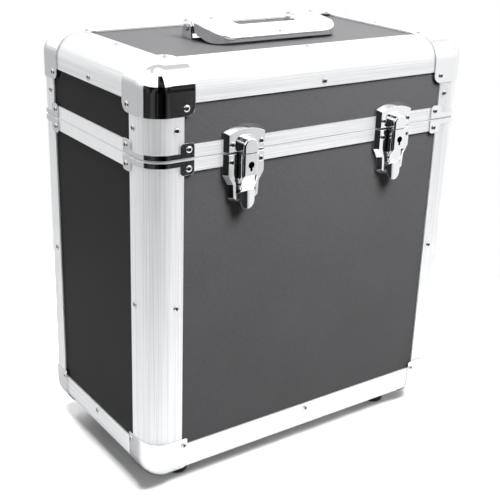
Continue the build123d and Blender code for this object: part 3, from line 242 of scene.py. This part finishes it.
def bright_chrome(name, roughness, ripple, colour="#e3e4e6"):
    """Chrome or nickel plate; ripple says how far the mirror is from flat."""
    material, tree, shader = new_material(name, Metallic=1.0, Base_Color=linear(colour))
    place = object_space(tree)
    wave = spots(tree, place, WAVES_PER_METRE, 1.0)
    haze = spots(tree, place, HAZE_PER_METRE, 3.0)
    soft_edge = node(tree, "ShaderNodeBevel", {"Radius": SHEET_ROUNDING}, samples=4).outputs[0]
    bend = node(tree, "ShaderNodeBump", {"Height": wave, "Strength": ripple,
                                         "Distance": WAVE_DEPTH, "Normal": soft_edge}).outputs[0]
    wire(tree, shader, Normal=bend,
         Roughness=remap(tree, haze, 0.35, 0.7, roughness, roughness + HAZE_ROUGHNESS))
    return material


def paint_keyhole_shade(material, covers):
    """Paints shade black where the keyhole of each lock cover is seen, from the covers' boxes."""
    tree = material.node_tree
    shader = next(step for step in tree.nodes if step.type == "BSDF_PRINCIPLED")
    plate = shader.inputs["Base Color"].default_value
    place = object_space(tree)
    reach = Vector((KEYHOLE_HALF, LOCK_DEPTH - COVER_RIM, (KEYHOLE_HIGH - KEYHOLE_LOW) / 2))
    inside = 0.0
    for low, high in covers:
        middle = (low + high) / 2
        middle.y, middle.z = low.y + LOCK_DEPTH, (KEYHOLE_LOW + KEYHOLE_HIGH) / 2
        offset = vector_maths(tree, "ABSOLUTE", vector_maths(tree, "SUBTRACT", place, middle))
        room = vector_maths(tree, "SUBTRACT", reach, offset)
        x, y, z = node(tree, "ShaderNodeSeparateXYZ", {0: room}).outputs
        least = maths(tree, "MINIMUM", maths(tree, "MINIMUM", x, y), z)
        inside = maths(tree, "MAXIMUM", inside, maths(tree, "GREATER_THAN", least, 0.0))
    # Painted shade: the keyhole boxes are coloured near black, where a deep hole would be dark.
    wire(tree, shader, Base_Color=blend(tree, inside, plate, linear("#0c0c0d")))


chrome = bright_chrome("bright_chrome_plate", 0.05, 0.12)
# Chrome for the lock covers, with shade painted black in their keyholes.
keyhole_shaded_chrome = bright_chrome("bright_chrome_plate_with_painted_keyhole_shade", 0.05, 0.12)
paint_keyhole_shade(keyhole_shaded_chrome, [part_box("latch_hook_left"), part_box("latch_hook_right")])
plated_rivet = bright_chrome("nickel_plated_rivet", 0.22, 0.05, "#c9cacc")
print("chrome finishes:", chrome.name, keyhole_shaded_chrome.name, plated_rivet.name)

# %% [markdown]
# ## Steel, rubber and felt
# Pins and springs are drawn or rolled steel with a thin zinc plate; the lock bolts and the mandrels
# that are left in the rivets are blackened. The feet are moulded rubber, almost black, with the
# slight bloom that moulded rubber gets. The lining is needle felt: a mat of fibres with no weave,
# which scatters light at grazing angles like a soft halo. A real fibre is some 0.03 mm thick; the
# felt's noise is drawn at 0.8 mm, the size of its tufts.

# %% Small finishes
CRYSTALS_PER_METRE = 900.0
BLOOM_PER_METRE = 700.0
BLOOM_DEPTH = 0.1 * MM
TUFT = 0.8 * MM
TUFT_DEPTH = 0.5 * MM
TANGLE = 0.01


def treated_steel(name, dark, light):
    """Plated or blackened steel, mottled between two shades."""
    material, tree, shader = new_material(name, Metallic=1.0)
    patches = spots(tree, object_space(tree), CRYSTALS_PER_METRE, 4.0)
    wire(tree, shader, Base_Color=blend(tree, patches, linear(dark), linear(light)),
         Roughness=remap(tree, patches, 0.3, 0.7, 0.24, 0.38))
    return material


def moulded_rubber():
    material, tree, shader = new_material("moulded_black_rubber", IOR=1.52)
    bloom = spots(tree, object_space(tree), BLOOM_PER_METRE, 4.0)
    relief = node(tree, "ShaderNodeBump", {"Height": bloom, "Strength": 0.3,
                                           "Distance": BLOOM_DEPTH}).outputs[0]
    wire(tree, shader, Base_Color=blend(tree, bloom, linear("#141415"), linear("#202021")),
         Roughness=remap(tree, bloom, 0.3, 0.7, 0.6, 0.78), Normal=relief)
    return material


def needle_felt():
    material, tree, shader = new_material(
        "needle_felt_lining", Roughness=0.95, Sheen_Weight=0.35, Sheen_Roughness=0.5
    )
    place = object_space(tree)
    swirl = node(tree, "ShaderNodeTexNoise", {"Vector": place, "Scale": 0.25 / TUFT,
                                              "Detail": 2.0}).outputs["Color"]
    tangled = blend(tree, TANGLE, place, swirl, "VECTOR")
    fibres = node(tree, "ShaderNodeTexNoise", {"Vector": tangled, "Scale": 1 / TUFT,
                                               "Detail": 5.0, "Roughness": 0.7}).outputs[0]
    shade = remap(tree, fibres, 0.3, 0.7, 0.0, 1.0)
    relief = node(tree, "ShaderNodeBump", {"Height": fibres, "Strength": 0.7,
                                           "Distance": TUFT_DEPTH}).outputs[0]
    wire(tree, shader, Base_Color=blend(tree, shade, linear("#17181a"), linear("#2e3033")),
         Normal=relief)
    return material


steel = treated_steel("zinc_plated_steel", "#9c9fa1", "#c4c6c6")
black_steel = treated_steel("blackened_steel", "#18181a", "#2c2c2e")
rubber = moulded_rubber()
felt = needle_felt()
print("small finishes:", steel.name, black_steel.name, rubber.name, felt.name)

# %% [markdown]
# ## Dressing the CAD parts
# A part's name says what it is made of, so a short list of words picks the finish. Aluminium parts
# also need the direction they run in. The top and bottom edges run along the longer side of their
# box; the posts stand upright, and the rim rails, a group of four lengths, take the X direction.

# %% Assign the finishes
def dress(name):
    """The finish of one CAD part, from its name."""
    if "panel" in name:
        return laminate
    if "feet" in name:
        return rubber
    if "lining" in name:
        return felt
    if name.endswith("posts") or "_post_" in name:
        return aluminium[2]
    if "rails" in name:
        return aluminium[0]
    if "edge" in name:
        low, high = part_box(name)
        size = high - low
        return aluminium[0 if size.x > size.y else 1]
    if "bolt" in name:
        return black_steel
    if any(word in name for word in ("pin", "spring", "screw")):
        return steel
    if "hook" in name:
        return keyhole_shaded_chrome
    return chrome


for name, part in nodes.items():
    part.data.materials.clear()
    part.data.materials.append(dress(name))
print("dressed", len(nodes), "parts")

# %% [markdown]
# ## Rivets
# About a hundred rivets hold the extrusions, corners and plates. A blind rivet has a shallow dome
# with a small pit where its mandrel broke off. Geometry Nodes place them: the CAD part gives the
# place and direction of each, one tree shapes a head and puts a copy at every point.

# %% Read the rivets' places
WELD = 0.01 * MM
RING = 0.05 * MM


def islands(mesh):
    """Groups of vertex positions that are joined, from a mesh of loose triangles."""
    shape = bmesh.new()
    shape.from_mesh(mesh)
    bmesh.ops.remove_doubles(shape, verts=shape.verts, dist=WELD)
    left, groups = set(shape.verts), []
    for start in shape.verts:
        if start not in left:
            continue
        left.discard(start)
        reached, edge = [], [start]
        while edge:
            vertex = edge.pop()
            reached.append(vertex.co.copy())
            for link in vertex.link_edges:
                other = link.other_vert(vertex)
                if other in left:
                    left.discard(other)
                    edge.append(other)
        groups.append(reached)
    shape.free()
    return groups


def rivet_place(points):
    """Centre of a rivet's base and the way its crown faces: the smaller ring is the crown."""
    low = Vector([min(p[i] for p in points) for i in range(3)])
    high = Vector([max(p[i] for p in points) for i in range(3)])
    size = high - low
    axis = min(range(3), key=lambda i: size[i])
    across = Vector([0 if i == axis else 1 for i in range(3)])
    middle = (low + high) / 2
    spread = []
    for level in (low[axis], high[axis]):
        ring = [p - middle for p in points if abs(p[axis] - level) < RING]
        spread.append(max((p * across).length for p in ring))
    sign = 1 if spread[1] < spread[0] else -1
    middle[axis] = low[axis] if sign > 0 else high[axis]
    return middle, Vector([sign if i == axis else 0 for i in range(3)])


places = {source: [rivet_place(group) for group in islands(nodes[source].data)]
          for source in ("body_rivets", "lid_rivets")}
print("rivets:", {source: len(found) for source, found in places.items()})

# %% The rivet tree
RIVET_SIZES = {"Radius": 3.0 * MM, "Crown": 1.1 * MM, "Pit Radius": 1.1 * MM, "Pit Depth": 0.5 * MM}
TOPSIDE = 0.1 * MM


def rivet_tree(head_finish, mandrel_finish):
    """Puts a domed head with a pit at each point, turned to the point's facing."""
    tree = bpy.data.node_groups.new("blind_rivets", "GeometryNodeTree")
    face = tree.interface
    face.new_socket("Geometry", in_out="INPUT", socket_type="NodeSocketGeometry")
    for name, size in RIVET_SIZES.items():
        socket = face.new_socket(name, in_out="INPUT", socket_type="NodeSocketFloat")
        socket.default_value = size
    face.new_socket("Geometry", in_out="OUTPUT", socket_type="NodeSocketGeometry")
    given = node(tree, "NodeGroupInput").outputs
    ball = node(tree, "GeometryNodeMeshUVSphere", {"Segments": 20, "Rings": 14,
                                                   "Radius": given["Radius"]}).outputs["Mesh"]
    spot = node(tree, "GeometryNodeInputPosition").outputs[0]
    x, y, z = node(tree, "ShaderNodeSeparateXYZ", {0: spot}).outputs
    flat = node(tree, "ShaderNodeCombineXYZ", {0: x, 1: y}).outputs[0]
    radius = vector_maths(tree, "LENGTH", flat, output="Value")
    squash = maths(tree, "DIVIDE", given["Crown"], given["Radius"])
    dome = maths(tree, "MULTIPLY", maths(tree, "MAXIMUM", z, 0.0), squash)
    pit = node(tree, "ShaderNodeMapRange", {
        "Value": radius, "From Min": given["Pit Radius"], "From Max": 0.0,
        "To Min": 0.0, "To Max": given["Pit Depth"]}, interpolation_type="SMOOTHERSTEP").outputs[0]
    sunk = maths(tree, "MULTIPLY", pit, maths(tree, "GREATER_THAN", z, TOPSIDE))
    height = maths(tree, "SUBTRACT", dome, sunk)
    moved = node(tree, "ShaderNodeCombineXYZ", {0: x, 1: y, 2: height}).outputs[0]
    in_pit = maths(tree, "LESS_THAN", radius, given["Pit Radius"])
    head = node(tree, "GeometryNodeSetMaterial", {
        "Geometry": ball, "Material": head_finish}).outputs[0]
    head = node(tree, "GeometryNodeSetMaterial", {
        "Geometry": head, "Selection": in_pit, "Material": mandrel_finish}).outputs[0]
    head = node(tree, "GeometryNodeSetPosition", {"Geometry": head, "Position": moved}).outputs[0]
    head = node(tree, "GeometryNodeSetShadeSmooth", {0: head}).outputs[0]
    facing = node(tree, "GeometryNodeInputNamedAttribute", {"Name": "facing"},
                  data_type="FLOAT_VECTOR").outputs[0]
    turn = node(tree, "FunctionNodeAlignRotationToVector", {"Vector": facing}, axis="Z").outputs[0]
    copies = node(tree, "GeometryNodeInstanceOnPoints", {
        "Points": given["Geometry"], "Instance": head, "Rotation": turn}).outputs[0]
    real = node(tree, "GeometryNodeRealizeInstances", {0: copies}).outputs[0]
    node(tree, "NodeGroupOutput", {0: real})
    return tree


rivets = rivet_tree(plated_rivet, black_steel)
print("rivet tree:", len(rivets.nodes), "nodes")

# %% Place the rivets
def rivet_points(name, found):
    """A mesh of loose points, one for each rivet, that remembers which way each faces."""
    mesh = bpy.data.meshes.new(name)
    mesh.from_pydata([place for place, _ in found], [], [])
    facing = mesh.attributes.new("facing", "FLOAT_VECTOR", "POINT")
    for i, (_, way) in enumerate(found):
        facing.data[i].vector = way
    return add_object(name, mesh)


def grow(points, tree):
    """Runs a tree on an object and keeps the result as its plain mesh."""
    run = points.modifiers.new("grow", "NODES")
    run.node_group = tree
    for item in tree.interface.items_tree:
        if item.in_out == "INPUT" and item.name in RIVET_SIZES:
            run[item.identifier] = RIVET_SIZES[item.name]
    graph = bpy.context.evaluated_depsgraph_get()
    mesh = bpy.data.meshes.new_from_object(points.evaluated_get(graph))
    points.modifiers.remove(run)
    points.data = mesh
    mesh.name = points.name
    return points


for name, source, body in (("case_rivet_heads", "body_rivets", "case_body"),
                           ("lid_rivet_heads", "lid_rivets", "lid")):
    heads = grow(rivet_points(name, places[source]), rivets)
    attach(heads, body)
    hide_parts(source)
    print(name, len(heads.data.polygons), "faces")

# %% [markdown]
# ## Felt lining
# Each half is lined with felt on thin foam, glued to the boards. Glued felt is never dead flat: it
# bridges the corners and quilts a little. The tray starts as a box without its open side, its edges
# are rounded, its faces are divided finely and every point is pushed in by a soft, low noise, most
# at the middle of a wall and not at all at the rim. Solidify then gives it the felt's thickness.

# %% Make the linings
FELT = 2.0 * MM
WALL_SHARE = 0.95
CORNER_ROUNDING = 8.5 * MM
LONGEST_EDGE = 9 * MM
RIM_FADE = 30 * MM
QUILTS_PER_METRE = 22.0
QUILT_DEPTH = 1.1 * MM


def felt_tray(name, source, open_up):
    """Lining with its opening up or down, inside the CAD part that it stands for."""
    low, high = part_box(source)
    rim = high.z if open_up else low.z
    low, high = low + Vector((FELT,) * 3), high - Vector((FELT,) * 3)
    if open_up:
        high.z = rim
    else:
        low.z = rim
    shape = bmesh.new()
    bmesh.ops.create_cube(shape, size=1.0)
    middle, size = (low + high) / 2, high - low
    for vertex in shape.verts:
        vertex.co = middle + vertex.co * size
    way = 1 if open_up else -1
    lid = [face for face in shape.faces if face.normal.z * way > 0.5]
    bmesh.ops.delete(shape, geom=lid, context="FACES_ONLY")
    sharp = [edge for edge in shape.edges if len(edge.link_faces) == 2]
    bmesh.ops.bevel(shape, geom=sharp, offset=CORNER_ROUNDING, segments=5, profile=0.5,
                    affect="EDGES")
    for cuts in (3, 2, 2):
        long = [edge for edge in shape.edges if edge.calc_length() > LONGEST_EDGE]
        bmesh.ops.subdivide_edges(shape, edges=long, cuts=cuts, use_grid_fill=True)
    bmesh.ops.recalc_face_normals(shape, faces=shape.faces)
    for face in shape.faces:
        if face.normal.dot(middle - face.calc_center_median()) < 0:
            face.normal_flip()
    shape.normal_update()
    for vertex in shape.verts:
        fade = min(1.0, abs(vertex.co.z - rim) / RIM_FADE)
        puff = noise.noise(vertex.co * QUILTS_PER_METRE) * 0.5 + 0.5
        vertex.co += vertex.normal * puff * fade * QUILT_DEPTH
    mesh = bpy.data.meshes.new(name)
    shape.to_mesh(mesh)
    shape.free()
    mesh.shade_smooth()
    mesh.materials.append(felt)
    made = add_object(name, mesh)
    wall = made.modifiers.new("felt thickness", "SOLIDIFY")
    wall.thickness = FELT * WALL_SHARE
    wall.offset = -1.0
    return made


for name, source, body, open_up in (("felt_body_lining", "body_lining", "case_body", True),
                                    ("felt_lid_lining", "lid_lining", "lid", False)):
    tray = felt_tray(name, source, open_up)
    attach(tray, body)
    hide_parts(source)
    print(name, len(tray.data.polygons), "faces")

# %% [markdown]
# ## Table
# The case stands on pale paper. The table is only a metre across, so that upright chrome mirrors
# the dark floor beyond it. Its paper bounces less light than the camera sees on it, so that the
# lowest boards stay as dark as in the photograph.

# %% Table
TABLE_SIZE = 1.0
PAPER_FIBRES_PER_METRE = 900.0
bpy.ops.mesh.primitive_plane_add(size=TABLE_SIZE, location=(0, 0, 0))
floor = bpy.context.object
floor.name = "studio_floor"
paper, tree, shader = new_material("pale_studio_paper", Roughness=0.9)
fibres = spots(tree, object_space(tree), PAPER_FIBRES_PER_METRE, 3.0)
seen = blend(tree, fibres, linear("#d8d8d8"), linear("#e0e0e0"))
ray = node(tree, "ShaderNodeLightPath").outputs
bounced = blend(tree, ray["Is Diffuse Ray"], linear("#808080"), linear("#5c5c5c"))
wire(tree, shader, Base_Color=blend(tree, ray["Is Camera Ray"], bounced, seen))
floor.data.materials.append(paper)
print("table", TABLE_SIZE, "m")

# %% [markdown]
# ## Surroundings
# White card all round would leave chrome without any contrast, so the side by the camera is kept
# dark and large softboxes hang beside it: the metal then shows crisp black and white shapes. The
# surroundings are worked out from the direction alone, as areas between two bearings and two
# heights, in degrees; a bearing of 0 is straight in front of the latches and positive ones are to
# the right. A softbox adds brightness, a grey area keeps a share of it, a dark area next to none.
# The camera itself sees plain white, mirrors see the areas, and dull surfaces get one low, even
# glow.

# %% Surroundings
SOFT_EDGE = 1.5
AMBIENT = 0.25
# bearings, heights, added brightness
SOFTBOXES = (((-150, -34), (15, 64), 0.5), ((2, 66), (14, 57), 1.5), ((40, 110), (-95, 12), 0.25),
             ((110, 185), (4, 50), 0.7), ((-185, -112), (4, 50), 0.2))
# bearings, heights
DARK = (((-97, 33), (-95, 13)), ((-31, -1), (-95, 60)))
# bearings, heights, share of the light that is kept, width of the edge
GREY = (((-180, -98), (-95, 8), 0.7, SOFT_EDGE), ((95, 185), (48, 70), 0.65, 6.0),
        ((-185, -105), (48, 70), 0.65, 6.0))

world = bpy.data.worlds.new("studio")
bpy.context.scene.world = world
world.use_nodes = True
tree = world.node_tree
tree.nodes.clear()
direction = node(tree, "ShaderNodeTexCoord").outputs["Generated"]
way = node(tree, "ShaderNodeSeparateXYZ", {0: direction}).outputs
ahead = maths(tree, "MULTIPLY", way[1], -1.0)
bearing = maths(tree, "DEGREES", maths(tree, "ARCTAN2", way[0], ahead))
height = maths(tree, "DEGREES", maths(tree, "ARCSINE", way[2]))


def area(bearings, heights, edge=SOFT_EDGE):
    """1 between two bearings and two heights, fading to 0 over the edge's width."""
    mask = 1.0
    for value, (low, high) in ((bearing, bearings), (height, heights)):
        rise = remap(tree, value, low - edge, low, 0.0, 1.0)
        fall = remap(tree, value, high, high + edge, 1.0, 0.0)
        mask = maths(tree, "MULTIPLY", mask, maths(tree, "MULTIPLY", rise, fall))
    return mask


def dim(light, mask, loss):
    """Takes a share of the light away inside a mask."""
    kept = maths(tree, "SUBTRACT", 1.0, maths(tree, "MULTIPLY", mask, loss))
    return maths(tree, "MULTIPLY", light, kept)


gloom = remap(tree, spots(tree, direction, 3.5), 0.4, 0.65, 0.995, 0.93)
mirrored = remap(tree, height, -5.0, 25.0, 0.88, 1.3)
for bearings, heights, share, edge in GREY:
    mirrored = dim(mirrored, area(bearings, heights, edge), 1 - share)
for bearings, heights in DARK:
    mirrored = dim(mirrored, area(bearings, heights), gloom)
for bearings, heights, power in SOFTBOXES:
    added = maths(tree, "MULTIPLY", area(bearings, heights), power)
    mirrored = maths(tree, "ADD", mirrored, added)

ray = node(tree, "ShaderNodeLightPath").outputs
strength = mirrored
for kind, level in (("Is Diffuse Ray", AMBIENT), ("Is Camera Ray", 1.0)):
    strength = node(tree, "ShaderNodeMix", {"Factor": ray[kind], 2: strength, 3: level},
                    data_type="FLOAT").outputs[0]
glow = node(tree, "ShaderNodeBackground", {"Color": linear("#ffffff"), "Strength": strength})
node(tree, "ShaderNodeOutputWorld", {"Surface": glow.outputs[0]})
print("surroundings:", len(tree.nodes), "nodes")

# %% [markdown]
# ## Lamps
# Three large lamps do the lighting: one overhead, a smaller key lamp that brings out the front
# boards, and a fill from behind. Mirrors don't see them, because the softboxes above already stand
# for them.

# %% Lamps
LAMPS = (  # name, place, target, width and height, watts
    ("overhead", (0.05, -0.1, 2.0), (0.05, -0.1, 0), (1.3, 1.6), 150.0),
    ("key", (0.2, -0.6, 0.95), (0, -0.1, 0.35), (0.4, 0.4), 56.0),
    ("back fill", (0.3, 1.5, 0.9), (0, 0.1, 0.2), (0.8, 0.8), 45.0),
)
for name, place, target, size, power in LAMPS:
    lamp = bpy.data.lights.new(name, "AREA")
    lamp.shape = "RECTANGLE"
    lamp.size, lamp.size_y = size
    lamp.energy = power
    made = add_object(name, lamp)
    made.location = place
    aim = Vector(target) - Vector(place)
    made.rotation_euler = aim.to_track_quat("-Z", "Y").to_euler()
    made.visible_glossy = False
print("lamps:", [name for name, *_ in LAMPS])

# %% [markdown]
# ## Camera
# The picture was taken from the front left, a little above the lid. The angles and distance were
# found by matching the case's straight edges, so they are given as numbers: how far the camera is
# turned, tipped and rolled, where it stands, and its lens.

# %% Camera
TURN, TIP, ROLL = (math.radians(v) for v in (-35.72, 21.78, 2.01))
CAMERA_PLACE = (-0.5379, -0.747, 0.5439)
FOCAL_LENGTH, SENSOR_WIDTH = 71.08, 36.0
back = Vector((math.sin(TURN) * math.cos(TIP), -math.cos(TURN) * math.cos(TIP), math.sin(TIP)))
level_right = (-back).cross(Vector((0, 0, 1))).normalized()
level_up = level_right.cross(-back)
right = math.cos(ROLL) * level_right + math.sin(ROLL) * level_up
up = -math.sin(ROLL) * level_right + math.cos(ROLL) * level_up
lens = bpy.data.cameras.new("camera")
lens.lens, lens.sensor_width = FOCAL_LENGTH, SENSOR_WIDTH
camera = add_object("camera", lens)
axes = Matrix((right, up, back)).transposed()
camera.matrix_world = Matrix.LocRotScale(CAMERA_PLACE, axes, None)
bpy.context.scene.camera = camera
bpy.context.scene.view_settings.view_transform = "Standard"
print("camera at", [round(v, 3) for v in camera.location])
